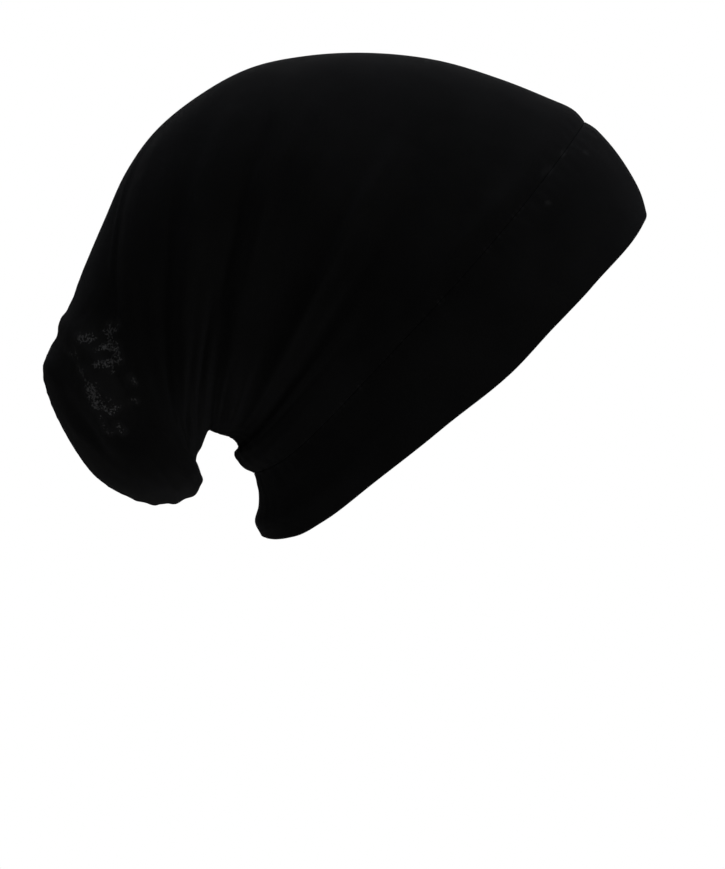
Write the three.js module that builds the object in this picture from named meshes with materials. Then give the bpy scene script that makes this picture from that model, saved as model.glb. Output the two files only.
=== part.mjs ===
// A soft cotton jersey under-scarf cap in the form it has when worn: a close crown, a doubled band round the
// face and nape, and a slack tail that hangs behind the neck. Millimetres, +X towards the face, +Y to the
// wearer's left, +Z up. The origin is where the inside of the crown sits on the top of the head.
import * as THREE from "three";

const { clamp, lerp, smoothstep } = THREE.MathUtils;

// Driving dimensions
const CROWN_WALL = 1.4; // one layer of jersey
const BAND_WALL = 2.4; // the band is the same jersey folded double
const BAND_EDGE_SWELL = 1.2; // how far the folded front edge swells forward
const SEAM_GAP = 0.3; // between the band's back edge and the crown's hem
const SEAM_DIP = 0.5; // how far the cloth sinks where the two are sewn
const SEAM_DIP_WIDTH = 3.5;
const CLOSING_SEAM_DIP = 0.9; // the groove of the seam that closes the tail
const CLOSING_SEAM_WIDTH = 0.035; // its half width, as a share of the way from the top to the nape
const CLOSING_SEAM_END = 0.9; // how many sections before the tail's end the groove begins to fade
const FOLD_STEEPNESS = 0.7; // the most a fold stands out, as a share of its half width
const SIDE_FULLNESS = 0.93; // 1 makes a section an ellipse, less makes it squarer
const TOP_LEAN = 1.7; // how gently a section's side begins to lean forward at the top
const NAPE_TURN = 0.47; // radians in which a section swings forward from the middle of the nape
const AROUND = 44; // points round a section

// Sections across the cap, from the face edge back to the end of the tail. Each is a closed loop square to the
// middle plane. topX and topZ are where it meets that plane over the head, lowX and lowZ where it meets it at
// the nape or under the tail, half is its half width, bow how far its sides lean forward and down, and steps
// how many strips of faces run on to the next section.
const SECTIONS = [
  { name: "face_edge", topX: 124.7, topZ: -67.8, lowX: -42.4, lowZ: -208.2, half: 71, bow: 14.6, steps: 2 },
  { name: "brow", topX: 119.6, topZ: -53.4, lowX: -44.9, lowZ: -202.4, half: 73, bow: 13, steps: 1 },
  { name: "forehead", topX: 112.2, topZ: -41.6, lowX: -43.3, lowZ: -195.6, half: 74, bow: 11, steps: 1 },
  { name: "hairline", topX: 104.3, topZ: -32.6, lowX: -43.6, lowZ: -188, half: 75, bow: 9, steps: 1 },
  { name: "band_seam", topX: 98.9, topZ: -28.2, lowX: -45.6, lowZ: -181.8, half: 75.5, bow: 8, steps: 1 },
  { name: "front_roll", topX: 93, topZ: -23, lowX: -49.8, lowZ: -178.8, half: 76, bow: 7, steps: 2 },
  { name: "nape_roll", topX: 82.7, topZ: -18.3, lowX: -53.6, lowZ: -173, half: 76.5, bow: 6, steps: 2 },
  { name: "nape_crease", topX: 61.8, topZ: -10, lowX: -51.9, lowZ: -170, half: 77.5, bow: 5, steps: 3 },
  { name: "crown_front", topX: 35, topZ: -2, lowX: -54, lowZ: -166.7, half: 78, bow: 4, steps: 4 },
  { name: "crown_top", topX: 6, topZ: 1.3, lowX: -57.5, lowZ: -165.1, half: 78, bow: 2, steps: 4 },
  { name: "crown_back", topX: -22, topZ: 0.1, lowX: -61.5, lowZ: -164, half: 77.5, bow: 0, steps: 4 },
  { name: "notch", topX: -47, topZ: -5.3, lowX: -64.9, lowZ: -162.9, half: 76.5, bow: 0, steps: 4 },
  { name: "shoulder", topX: -69, topZ: -17.1, lowX: -66.6, lowZ: -166.2, half: 74.5, bow: 0, steps: 4 },
  { name: "tail_bend", topX: -88, topZ: -32.6, lowX: -68.1, lowZ: -170.2, half: 71.5, bow: 0, steps: 3 },
  { name: "tail_back", topX: -100.9, topZ: -50.6, lowX: -70, lowZ: -173.6, half: 68, bow: 0, steps: 3 },
  { name: "tail_front", topX: -110.5, topZ: -71.8, lowX: -70.3, lowZ: -177.6, half: 64.5, bow: 0, steps: 3 },
  { name: "tail_upper", topX: -119.3, topZ: -92.4, lowX: -68.6, lowZ: -180.6, half: 61.5, bow: 0, steps: 2 },
  { name: "first_step", topX: -126.5, topZ: -110, lowX: -67.4, lowZ: -183.4, half: 58.5, bow: 0, steps: 1 },
  { name: "back_roll", topX: -129.6, topZ: -113.8, lowX: -67.4, lowZ: -185.8, half: 57, bow: 0, steps: 1 },
  { name: "back_hollow", topX: -131.3, topZ: -121.4, lowX: -68.9, lowZ: -188.9, half: 54.5, bow: 0, steps: 1 },
  { name: "second_step", topX: -133.5, topZ: -125.8, lowX: -71.6, lowZ: -191.4, half: 52, bow: 0, steps: 1 },
  { name: "tail_shelf", topX: -136.3, topZ: -131.4, lowX: -74.6, lowZ: -193.2, half: 49.5, bow: 0, steps: 1 },
  { name: "tail_belly", topX: -137.3, topZ: -138, lowX: -78.6, lowZ: -194.6, half: 46, bow: 0, steps: 2 },
  { name: "tail_under", topX: -133.5, topZ: -151.6, lowX: -85.4, lowZ: -195.4, half: 38.5, bow: 0, steps: 2 },
  { name: "tail_low", topX: -126.2, topZ: -165.9, lowX: -93.1, lowZ: -194.6, half: 28.5, bow: 0, steps: 2 },
  { name: "tail_tip", topX: -117, topZ: -180, lowX: -101.9, lowZ: -191.1, half: 14, bow: 0, steps: 2 },
  { name: "tail_end", topX: -108.7, topZ: -187.4, lowX: -108.7, lowZ: -187.4, half: 0, bow: 0, steps: 0 },
];

// Folds pulled between the crown and the gathers at the nape. A fold starts near the top at section fromAt,
// fromWay of the way round from the top to the nape, ends at toAt and toWay, and swings aside by bend sections
// on the way. wide is its half width in sections, and right and left are how far it stands out on each side,
// below zero for a hollow.
const FOLDS = [
  { fromAt: 6.5, fromWay: 0.34, toAt: 5, toWay: 0.66, bend: 0.1, wide: 0.45, right: 1, left: 0.7 },
  { fromAt: 7.2, fromWay: 0.34, toAt: 7.3, toWay: 0.95, bend: -0.1, wide: 0.32, right: -1.7, left: -1.2 },
  { fromAt: 7.8, fromWay: 0.26, toAt: 7.9, toWay: 0.92, bend: 0.3, wide: 0.32, right: 2.3, left: 1.8 },
  { fromAt: 8.9, fromWay: 0.28, toAt: 8.5, toWay: 0.93, bend: 0.2, wide: 0.36, right: -1.5, left: -1.8 },
  { fromAt: 9.4, fromWay: 0.2, toAt: 9.3, toWay: 0.93, bend: 0.8, wide: 0.36, right: 2.2, left: 2.5 },
  { fromAt: 10.2, fromWay: 0.22, toAt: 10.6, toWay: 0.93, bend: 0.5, wide: 0.38, right: -2.2, left: -1.8 },
  { fromAt: 11.2, fromWay: 0.2, toAt: 13.9, toWay: 0.78, bend: -0.2, wide: 0.42, right: 2.3, left: 2 },
  { fromAt: 10.9, fromWay: 0.42, toAt: 13.2, toWay: 0.94, bend: -0.3, wide: 0.38, right: -3, left: -2.6 },
  { fromAt: 11.2, fromWay: 0.1, toAt: 15.2, toWay: 0.72, bend: -0.2, wide: 0.48, right: -3.2, left: -2.7 },
  { fromAt: 13, fromWay: 0.1, toAt: 17.4, toWay: 0.74, bend: 0.1, wide: 0.6, right: 2.3, left: 2.5 },
  { fromAt: 14, fromWay: 0.1, toAt: 18.6, toWay: 0.56, bend: 0, wide: 0.7, right: -2.4, left: -2 },
  { fromAt: 16.8, fromWay: 0.18, toAt: 21.6, toWay: 0.6, bend: 0.8, wide: 1.2, right: 2, left: 1.4 },
  { fromAt: 20.4, fromWay: 0.12, toAt: 23.7, toWay: 0.66, bend: 0.5, wide: 0.8, right: -1.7, left: -1.3 },
];

// Sections by number
const sectionNumber = (name) => SECTIONS.findIndex((section) => section.name === name);
const BAND_SEAM = sectionNumber("band_seam");
const CLOSING_SEAM_LOW = sectionNumber("tail_bend");
const CLOSING_SEAM_TOP = sectionNumber("first_step");
const TAIL_END = sectionNumber("tail_end");

const curveThrough = (place) => new THREE.CatmullRomCurve3(SECTIONS.map(place), false, "centripetal");
const topLine = curveThrough(({ topX, topZ }) => new THREE.Vector3(topX, 0, topZ));
const lowLine = curveThrough(({ lowX, lowZ }) => new THREE.Vector3(lowX, 0, lowZ));
const sideLine = curveThrough(({ half, bow }) => new THREE.Vector3(half, bow, 0));

// How much of a section's bow is reached at an angle from the top.
function leanShare(angle) {
  if (angle < Math.PI / 2) return Math.sin(angle) ** TOP_LEAN;
  return 1 - Math.exp(-(((Math.PI - angle) / NAPE_TURN) ** 2));
}

// A point of the smooth cap, before its folds. at is a section number with its fraction, and angle runs from 0
// over the head to PI at the nape on the wearer's left, and below zero on the right.
function smoothPoint(at, angle) {
  const share = at / TAIL_END;
  const low = lowLine.getPoint(share);
  const across = topLine.getPoint(share).sub(low);
  const { x: half, y: bow } = sideLine.getPoint(share);
  const forward = new THREE.Vector3(across.z, 0, -across.x).normalize();
  const sine = Math.sin(angle);
  const point = low.addScaledVector(across, (1 + Math.cos(angle)) / 2);
  point.addScaledVector(forward, bow * leanShare(Math.abs(angle)));
  point.y = half * Math.sign(sine) * Math.abs(sine) ** SIDE_FULLNESS;
  return point;
}

// How much of its height a fold has at a share of its length: it comes in slowly and ends sooner.
const foldSwell = (along) => Math.sin(Math.PI * along ** 1.3) ** 0.8;

// How far the folds lift the cloth. spacing is the distance there from one section to the next.
function foldHeight(at, angle, spacing) {
  const way = Math.abs(angle) / Math.PI;
  return FOLDS.reduce((sum, fold) => {
    const along = (way - fold.fromWay) / (fold.toWay - fold.fromWay);
    if (along <= 0 || along >= 1) return sum;
    const centre = lerp(fold.fromAt, fold.toAt, along) + fold.bend * Math.sin(Math.PI * along);
    const most = FOLD_STEEPNESS * fold.wide * spacing;
    const height = clamp(angle < 0 ? fold.right : fold.left, -most, most);
    return sum + height * foldSwell(along) * Math.exp(-(((at - centre) / fold.wide) ** 2));
  }, 0);
}

// How far the seams draw the cloth in. distance is how far it lies from the band's seam.
function seamDepth(at, angle, distance) {
  const way = Math.abs(angle) / Math.PI;
  const onTop = Math.exp(-((way / CLOSING_SEAM_WIDTH) ** 2));
  const below = Math.exp(-(((1 - way) / CLOSING_SEAM_WIDTH) ** 2));
  const begun = Math.max(
    onTop * smoothstep(at, CLOSING_SEAM_TOP - 1, CLOSING_SEAM_TOP),
    below * smoothstep(at, CLOSING_SEAM_LOW - 1, CLOSING_SEAM_LOW),
  );
  const closing = CLOSING_SEAM_DIP * begun * smoothstep(TAIL_END - at, 0, CLOSING_SEAM_END);
  return closing + SEAM_DIP * Math.exp(-((distance / SEAM_DIP_WIDTH) ** 2));
}

// A point of the cloth at a section and an angle, depth below its outside.
function clothPoint(at, angle, depth) {
  const point = smoothPoint(at, angle);
  const nudge = 1e-3;
  const before = Math.max(at - nudge, 0);
  const after = Math.min(at + nudge, TAIL_END);
  const onward = smoothPoint(after, angle).sub(smoothPoint(before, angle));
  const spacing = onward.length() / (after - before);
  const round = smoothPoint(at, angle + nudge).sub(smoothPoint(at, angle - nudge));
  const outward = round.cross(onward).normalize();
  const distance = point.distanceTo(smoothPoint(BAND_SEAM, angle));
  const lift = foldHeight(at, angle, spacing) - seamDepth(at, angle, distance);
  return point.addScaledVector(outward, lift - depth);
}

// The section numbers of the rings from one section to another.
function ringStations(from, to) {
  const stations = [from];
  for (let section = from; section < to; section++) {
    const { steps } = SECTIONS[section];
    for (let step = 1; step <= steps; step++) stations.push(section + step / steps);
  }
  return stations;
}

// Rings of points round the cap at those stations, depth below the outside. The ring on the band's seam is
// moved onward by shift, which leaves the gap there.
function ringsAt(stations, depth, shift) {
  const angles = Array.from({ length: AROUND }, (_, i) => (2 * Math.PI * i) / AROUND - Math.PI);
  return stations.map((at) =>
    angles.map((angle) => {
      const point = clothPoint(at, angle, depth);
      if (at !== BAND_SEAM) return point;
      const onward = clothPoint(at + 0.5, angle, 0).sub(clothPoint(at - 0.5, angle, 0)).normalize();
      return point.addScaledVector(onward, shift);
    }),
  );
}

// A closed mesh through rings of points, which run from one end of the wall along its inside and back along
// its outside. With poles each end is closed on a point, and without them the last ring joins the first. Each
// face is split along the way the folds run on its side of the cap.
function skinThrough(rings, poles) {
  const points = rings.flat();
  const faces = [];
  const index = (ring, i) => (ring % rings.length) * AROUND + (i % AROUND);
  const strips = poles ? rings.length - 1 : rings.length;
  for (let ring = 0; ring < strips; ring++) {
    for (let i = 0; i < AROUND; i++) {
      const [a, b] = [index(ring, i), index(ring, i + 1)];
      const [c, d] = [index(ring + 1, i + 1), index(ring + 1, i)];
      const rising = ring >= rings.length / 2 === i < AROUND / 2;
      faces.push(...(rising ? [a, b, d, b, c, d] : [a, b, c, a, c, d]));
    }
  }
  if (poles) {
    const last = rings.length - 1;
    for (let i = 0; i < AROUND; i++) {
      faces.push(points.length, index(0, i + 1), index(0, i));
      faces.push(points.length + 1, index(last, i), index(last, i + 1));
    }
    points.push(poles.first, poles.last);
  }
  const geometry = new THREE.BufferGeometry().setFromPoints(points);
  geometry.setIndex(faces);
  geometry.computeVertexNormals();
  return geometry;
}

// The crown and its tail: a bag of one layer, open at the band's seam and closed at the end of the tail.
function crownGeometry() {
  const stations = ringStations(BAND_SEAM, TAIL_END).slice(0, -1);
  const outer = ringsAt(stations, 0, SEAM_GAP / 2);
  const inner = ringsAt(stations, CROWN_WALL, SEAM_GAP / 2);
  const end = smoothPoint(TAIL_END, 0);
  const centre = new THREE.Vector3();
  for (const point of outer.at(-1)) centre.addScaledVector(point, 1 / AROUND);
  const innerEnd = end.clone().addScaledVector(centre.sub(end).normalize(), CROWN_WALL);
  return skinThrough([...inner.toReversed(), ...outer], { first: innerEnd, last: end });
}

// The band: the jersey folded double, with a round folded edge at the face.
function bandGeometry() {
  const stations = ringStations(0, BAND_SEAM);
  const outer = ringsAt(stations, 0, -SEAM_GAP / 2);
  const inner = ringsAt(stations, BAND_WALL, -SEAM_GAP / 2);
  const fold = outer[0].map((point, i) => {
    const forward = point.clone().sub(outer[1][i]).normalize();
    return point.clone().lerp(inner[0][i], 0.5).addScaledVector(forward, BAND_EDGE_SWELL);
  });
  return skinThrough([...inner.toReversed(), fold, ...outer], null);
}

const BLACK = 0x0b0b0c;
const jersey = (roughness) => new THREE.MeshStandardMaterial({ color: BLACK, roughness, metalness: 0 });

function namedMesh(name, geometry, material) {
  const mesh = new THREE.Mesh(geometry, material);
  mesh.name = name;
  return mesh;
}

const cap = new THREE.Group();
cap.add(namedMesh("crown", crownGeometry(), jersey(0.9)));
cap.add(namedMesh("face_band", bandGeometry(), jersey(0.86)));

export default cap;
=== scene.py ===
"""A soft cotton jersey under-scarf cap in the form it has when worn, with its seams, studio and camera.
Everything is in metres in the part's own frame: +X towards the face, +Y to the wearer's left, +Z up, and the
origin where the crown sits on the top of the head. The shape tables are in millimetres.
"""

import math
from collections import namedtuple

import bmesh
import bpy
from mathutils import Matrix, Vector, noise


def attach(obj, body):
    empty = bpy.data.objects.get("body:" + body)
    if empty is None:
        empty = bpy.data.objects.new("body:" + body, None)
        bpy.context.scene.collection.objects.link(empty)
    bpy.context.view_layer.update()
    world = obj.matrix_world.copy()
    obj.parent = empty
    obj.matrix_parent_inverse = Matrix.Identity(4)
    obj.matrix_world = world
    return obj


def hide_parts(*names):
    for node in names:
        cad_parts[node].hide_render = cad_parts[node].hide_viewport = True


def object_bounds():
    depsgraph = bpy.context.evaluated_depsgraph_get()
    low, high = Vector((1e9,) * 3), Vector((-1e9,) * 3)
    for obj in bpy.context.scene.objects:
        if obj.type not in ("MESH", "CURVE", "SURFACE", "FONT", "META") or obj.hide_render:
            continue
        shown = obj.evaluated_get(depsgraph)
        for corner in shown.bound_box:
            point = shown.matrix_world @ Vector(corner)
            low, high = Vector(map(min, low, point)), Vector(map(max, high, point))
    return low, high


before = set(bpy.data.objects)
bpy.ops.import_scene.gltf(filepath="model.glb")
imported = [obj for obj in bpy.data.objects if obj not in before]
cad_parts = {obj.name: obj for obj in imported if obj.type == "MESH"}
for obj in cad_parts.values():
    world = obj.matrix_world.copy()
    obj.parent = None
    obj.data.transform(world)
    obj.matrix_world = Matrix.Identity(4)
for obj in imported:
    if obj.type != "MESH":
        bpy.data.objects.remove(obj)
CAD_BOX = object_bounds()

bl_info = {
    "name": "Cotton jersey cap",
    "version": (1, 0, 0),
    "blender": (4, 5, 0),
    "location": "View3D > Sidebar > Cap",
    "description": "Builds the cloth, the seams and the studio of a soft jersey cap",
    "category": "Add Mesh",
}

MM = 0.001
CROWN_NODE = "crown"
BAND_NODE = "face_band"

# Driving dimensions, in millimetres
BAND_EDGE_SWELL = 1.2  # how far the folded front edge swells forward
SEAM_GAP = 0.04  # between the band's back edge and the crown's hem, which the part keeps wider
SEAM_DIP = 0.5  # how far the cloth sinks where the two are sewn
SEAM_DIP_WIDTH = 3.5
SEAM_MARK_WIDTH = 1.6  # how far from the seam its stitches show
CLOSING_SEAM_DIP = 0.5  # the groove of the seam that closes the tail
CLOSING_SEAM_WIDTH = 0.035  # its half width, as a share of the way from the top to the nape
CLOSING_SEAM_END = 0.9  # how many sections before the tail's end the groove begins to fade
FOLD_STEEPNESS = 0.7  # the most a fold stands out, as a share of its half width
SIDE_FULLNESS = 0.93  # 1 makes a section an ellipse, less makes it squarer
TOP_LEAN = 1.7  # how gently a section's side begins to lean forward at the top
NAPE_TURN = 0.47  # radians in which a section swings forward from the middle of the nape
NUDGE = 0.001  # the small step over which slopes are measured, in sections or radians

# Sections across the cap, from the face edge back to the end of the tail. Each is a closed loop square to
# the middle plane. It meets the plane at top_x, top_z over the head and at low_x, low_z at the nape or
# under the tail. half is its half width, bow how far its sides lean forward and down, and strips how many
# strips of faces the part has to the next section.
Section = namedtuple("Section", "name top_x top_z low_x low_z half bow strips")
SECTIONS = [Section(*row) for row in (
    ("face_edge", 124.7, -67.8, -42.4, -208.2, 71, 14.6, 2),
    ("brow", 119.6, -53.4, -44.9, -202.4, 73, 13, 1),
    ("forehead", 112.2, -41.6, -43.3, -195.6, 74, 11, 1),
    ("hairline", 104.3, -32.6, -43.6, -188, 75, 9, 1),
    ("band_seam", 98.9, -28.2, -45.6, -181.8, 75.5, 8, 1),
    ("front_roll", 93, -23, -49.8, -178.8, 76, 7, 2),
    ("nape_roll", 82.7, -18.3, -53.6, -173, 76.5, 6, 2),
    ("nape_crease", 61.8, -10, -51.9, -170, 77.5, 5, 3),
    ("crown_front", 35, -2, -54, -166.7, 78, 4, 4),
    ("crown_top", 6, 1.3, -57.5, -165.1, 78, 2, 4),
    ("crown_back", -22, 0.1, -61.5, -164, 77.5, 0, 4),
    ("notch", -47, -5.3, -64.9, -162.9, 76.5, 0, 4),
    ("shoulder", -69, -17.1, -66.6, -166.2, 74.5, 0, 4),
    ("tail_bend", -88, -32.6, -68.1, -170.2, 71.5, 0, 3),
    ("tail_back", -100.9, -50.6, -70, -173.6, 68, 0, 3),
    ("tail_front", -110.5, -71.8, -70.3, -177.6, 64.5, 0, 3),
    ("tail_upper", -119.3, -92.4, -68.6, -180.6, 61.5, 0, 2),
    ("first_step", -126.5, -110, -67.4, -183.4, 58.5, 0, 1),
    ("back_roll", -129.6, -113.8, -67.4, -185.8, 57, 0, 1),
    ("back_hollow", -131.3, -121.4, -68.9, -188.9, 54.5, 0, 1),
    ("second_step", -133.5, -125.8, -71.6, -191.4, 52, 0, 1),
    ("tail_shelf", -136.3, -131.4, -74.6, -193.2, 49.5, 0, 1),
    ("tail_belly", -137.3, -138, -78.6, -194.6, 46, 0, 2),
    ("tail_under", -133.5, -151.6, -85.4, -195.4, 38.5, 0, 2),
    ("tail_low", -126.2, -165.9, -93.1, -194.6, 28.5, 0, 2),
    ("tail_tip", -117, -180, -101.9, -191.1, 14, 0, 2),
    ("tail_end", -108.7, -187.4, -108.7, -187.4, 0, 0, 0),
)]

# Folds pulled between the crown and the gathers at the nape. A fold starts near the top at section from_at,
# from_way of the way round from the top to the nape, ends at to_at and to_way, and swings aside by bend
# sections on the way. wide is its half width in sections. right and left are how far it stands out on each
# side, below zero for a hollow.
Fold = namedtuple("Fold", "from_at from_way to_at to_way bend wide right left")
FOLDS = [Fold(*row) for row in (
    (6.5, 0.34, 5, 0.66, 0.1, 0.45, 1, 0.7),
    (7.2, 0.34, 7.3, 0.95, -0.1, 0.32, -1.7, -1.2),
    (7.8, 0.26, 7.9, 0.92, 0.3, 0.32, 2.3, 1.8),
    (8.9, 0.28, 8.5, 0.93, 0.2, 0.36, -1.5, -1.8),
    (9.4, 0.2, 9.3, 0.93, 0.8, 0.36, 2.2, 2.5),
    (10.2, 0.22, 10.6, 0.93, 0.5, 0.38, -2.2, -1.8),
    (11.2, 0.2, 13.9, 0.78, -0.2, 0.42, 2.3, 2),
    (10.9, 0.42, 13.2, 0.94, -0.3, 0.38, -3, -2.6),
    (11.2, 0.1, 15.2, 0.72, -0.2, 0.48, -3.2, -2.7),
    (13, 0.1, 17.4, 0.74, 0.1, 0.6, 2.3, 2.5),
    (14, 0.1, 18.6, 0.56, 0, 0.7, -2.4, -2),
    (16.8, 0.18, 21.6, 0.6, 0.8, 1.2, 2, 1.4),
    (20.4, 0.12, 23.7, 0.66, 0.5, 0.8, -1.7, -1.3),
)]

# Narrow folds and creases between and on the broad ones
FINE_FOLDS = [Fold(*row) for row in (
    (7.95, 0.24, 8.2, 0.68, 0.1, 0.13, 1.9, 1.2), (7.5, 0.34, 7.3, 0.7, -0.05, 0.16, -1.3, -0.8),
    (8.3, 0.34, 8.6, 0.7, 0, 0.16, -0.7, -0.5), (9.55, 0.18, 10.2, 0.58, 0.1, 0.14, 2, 1.4),
    (10.25, 0.24, 11.1, 0.64, 0.1, 0.15, -1.3, -0.9), (9, 0.26, 9.4, 0.62, 0.2, 0.16, -0.8, -0.6),
    (7.05, 0.66, 7.2, 0.88, 0, 0.2, -1.1, -0.8), (8.45, 0.66, 8.3, 0.97, 0.05, 0.18, -0.3, -0.6),
    (9.1, 0.64, 8.8, 0.98, 0.1, 0.14, 0.5, 0.4), (9.9, 0.68, 9.8, 0.98, 0.12, 0.14, -0.5, -0.4),
    (10.6, 0.64, 10.4, 0.98, 0.15, 0.15, 0.5, 0.5), (12.4, 0.6, 14.6, 0.84, -0.1, 0.4, -1.2, -1),
    (11.5, 0.5, 12, 0.9, 0, 0.2, -0.4, -0.4), (11.7, 0.3, 13.2, 0.62, -0.1, 0.13, 0.5, 0.8),
    (12, 0.16, 13.5, 0.5, 0.1, 0.13, -0.8, -0.7), (12.8, 0.12, 15.4, 0.5, 0.1, 0.16, 0.6, 0.7),
    (14.2, 0.14, 16.2, 0.42, 0.1, 0.16, -0.9, -0.7), (15.4, 0.2, 17.6, 0.56, 0.1, 0.2, 0.7, 0.5),
    (12.6, 0.62, 13.6, 0.97, 0, 0.4, -0.8, -0.6), (14.4, 0.64, 15, 0.95, 0.1, 0.2, -0.7, -0.6),
    (15.9, 0.6, 16.6, 0.94, 0.1, 0.25, 0.7, 0.8), (17.6, 0.56, 18.6, 0.93, 0.2, 0.35, -0.6, -0.7),
    (19.8, 0.5, 20.8, 0.9, 0.2, 0.4, 0.6, 0.6), (21.4, 0.1, 22.6, 0.5, 0.2, 0.3, -0.7, -0.5),
    (22.4, 0.1, 23.4, 0.62, 0.2, 0.3, 0.6, 0.5), (5.4, 0.62, 5.2, 0.98, 0, 0.22, 0.7, 0.6),
    (6.2, 0.56, 6.1, 0.97, 0, 0.18, -0.7, -0.6), (6.8, 0.5, 6.7, 0.95, 0.1, 0.14, 0.6, 0.6),
    (9.98, 0.08, 10.42, 0.52, 0.05, 0.24, 2.6, 1.6), (9.5, 0.1, 9.85, 0.5, 0.05, 0.22, -1.7, -1.1),
    (8.1, 0.3, 8.1, 0.68, 0.05, 0.15, 1.2, 0.8), (10.1, 0.5, 9.5, 0.96, 0.1, 0.26, -1.1, -0.8),
    (8.05, 0.68, 7.9, 0.96, 0, 0.24, -0.8, -0.6), (10.2, 0.43, 10.25, 0.6, 0, 0.22, -1, -0.6),
    (5.2, 0.16, 4.9, 0.62, 0, 0.55, 2, 1.2), (18.6, 0.2, 19.6, 0.52, 0, 0.3, 0.8, 0.4),
    (15.1, 0.05, 17.4, 0.36, 0.3, 0.3, 0, 1.3), (16.3, 0.04, 19.2, 0.3, -0.3, 0.4, 0, -1.2),
    (12.9, 0.04, 15.6, 0.28, 0.2, 0.24, 0.9, 0), (20.6, 0.03, 22.6, 0.42, 0.3, 0.5, 0.7, 0),
    (21.8, 0.04, 23.4, 0.36, 0.2, 0.4, 0, 1.1), (18.2, 0.5, 20.6, 0.88, 0.3, 0.5, 0, 1.4),
)]


def section_number(name):
    return next(i for i, section in enumerate(SECTIONS) if section.name == name)


BAND_SEAM = section_number("band_seam")
CLOSING_SEAM_LOW = section_number("tail_upper")
CLOSING_SEAM_TOP = section_number("first_step")
TAIL_END = section_number("tail_end")

TOP_LINE = [Vector((s.top_x, 0, s.top_z)) for s in SECTIONS]
LOW_LINE = [Vector((s.low_x, 0, s.low_z)) for s in SECTIONS]
SIDE_LINE = [Vector((s.half, s.bow, 0)) for s in SECTIONS]

# The crumpled patch on the right side of the tail: its middle and half sizes as seen from the side, and how
# far it leans from upright
CRUMPLE_X = -110.5
CRUMPLE_Z = -138
CRUMPLE_HALF_WIDTH = 13
CRUMPLE_HALF_HEIGHT = 25
CRUMPLE_LEAN = math.radians(20)
CRUMPLE_HEIGHT = 1.3
CRUMPLE_SIZE = 8.5
CRUMPLE_HIGHLIGHT_TONE = 0.32  # rubbing and painted highlight of the whole crumpled patch, below which no flecks show

# Where the cloth is painted paler, as strokes seen from the right: painted highlight with lint flecks along
# the creases of the crumpled patch, and painted glints along the band's seam above the temple
Rub = namedtuple("Rub", "x z to_x to_z reach strength")
RUBBED_AND_HIGHLIT = [Rub(*row) for row in (
    (-118.9, -123.5, -114.8, -123.1, 2.7, 1.1), (-108.3, -117.2, -108.1, -122.9, 2, 0.9),
    (-109.8, -120.5, -105.6, -119.2, 2, 1), (-104.2, -116, -103.4, -116.8, 1.4, 0.8),
    (-111.8, -127.8, -109.2, -125.9, 2.1, 0.9), (-109.2, -126.2, -105, -127.2, 2.9, 1.1),
    (-105, -127, -102.7, -132.4, 2.4, 1.1), (-112.2, -134.7, -108.5, -134.4, 2.2, 1),
    (-108.6, -133.9, -105.4, -133.2, 2.8, 1.1), (-106.2, -134.5, -105.8, -138, 1.7, 0.8),
    (-125.6, -127.7, -123.3, -130.9, 1.4, 0.7), (-121.7, -127.5, -118.5, -136.6, 1.5, 0.7),
    (-118.5, -136.6, -113.5, -143.8, 2, 0.8), (-113.6, -144.6, -110.9, -151.2, 3.4, 1.2),
    (-109.9, -151, -105.5, -154.9, 1.7, 0.9), (-105.5, -154.9, -102.7, -152.4, 2, 0.9),
    (-107.1, -148.6, -103.4, -152, 1.7, 0.6), (-107.3, -141.4, -105.5, -144.2, 1.5, 0.6),
    (-109.9, -156.6, -107.8, -162, 1.7, 0.7), (-107.8, -162, -105.6, -163.1, 1.7, 0.7),
    (-103.2, -160.2, -100.6, -162.9, 1.8, 0.8), (-97.4, -139.9, -95.6, -142.5, 1.7, 0.9),
    (-98, -150.3, -95.2, -150.3, 1.7, 0.8), (98.6, -42.6, 98.2, -42.9, 0.5, 0.5),
    (88.6, -43.4, 87.4, -43.7, 0.7, 0.55), (82.6, -50.4, 80.4, -52.4, 0.8, 0.6),
    (81.4, -64.9, 81.1, -65.6, 0.7, 0.5),
)]

# How far the folded edge lies forward of its section, round from the brow to the nape
EdgeTrim = namedtuple("EdgeTrim", "way forward")
EDGE_TRIM = [EdgeTrim(*row) for row in (
    (0, 0.3), (0.06, 1.2), (0.15, 1.6), (0.28, 0), (0.36, -0.3), (0.45, 1),
    (0.56, -0.2), (0.69, -1.3), (0.78, -1), (0.86, 0.1), (0.93, 0.8), (1, 0.2),
)]
BROW_SWELL = 0.8  # how much the band's edge swells at the middle of the brow
BROW_SWELL_WAY = 0.12

# Small relief of the cloth and of its seams
DRIFT = 0.35  # how far a fold wanders to the side, as a share of its half width
DRIFT_SIZE = 38
SIDE_SHIFT = 40  # sets the folds' wandering on the two sides apart
DRAG_HEIGHT = 0.35  # soft unevenness of the stretched cloth
DRAG_SIZE = 26
WANDER_LENGTH = 23  # over what length the seams' ripples change their spacing
PUCKER_HEIGHT = 0.32  # ripples that the seams draw into the cloth
PUCKER_LENGTH = 7.5
PUCKER_REACH = 7
PUCKER_FADE = 31  # over what length they fade in and out
GATHER_HEIGHT = 0.4  # short gathers at the nape
GATHER_LENGTH = 9.5
GATHER_START = 0.8  # how far round they begin
GATHER_MIDDLE = 6.5  # the section where they are highest, and how many sections they reach
GATHER_SPREAD = 4.5
GATHER_END = 16
CLOSING_RIPPLE = 0.45  # ripples that the closing seam draws into the bottom of the tail
CLOSING_RIPPLE_LENGTH = 8
CLOSING_RIPPLE_CREST = -88.3  # where one of them stands lowest
CLOSING_RIPPLE_WAY = 0.1  # how far they reach from the middle plane
CLOSING_CREASE = 0.8  # the narrow crease in the middle of the closing seam's groove
CLOSING_CREASE_WIDTH = 0.011
CLOSING_PUCKER = 0.3  # short ripples on both sides of the crease
CLOSING_PUCKER_LENGTH = 6.5
CLOSING_PUCKER_REACH = 0.05
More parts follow.
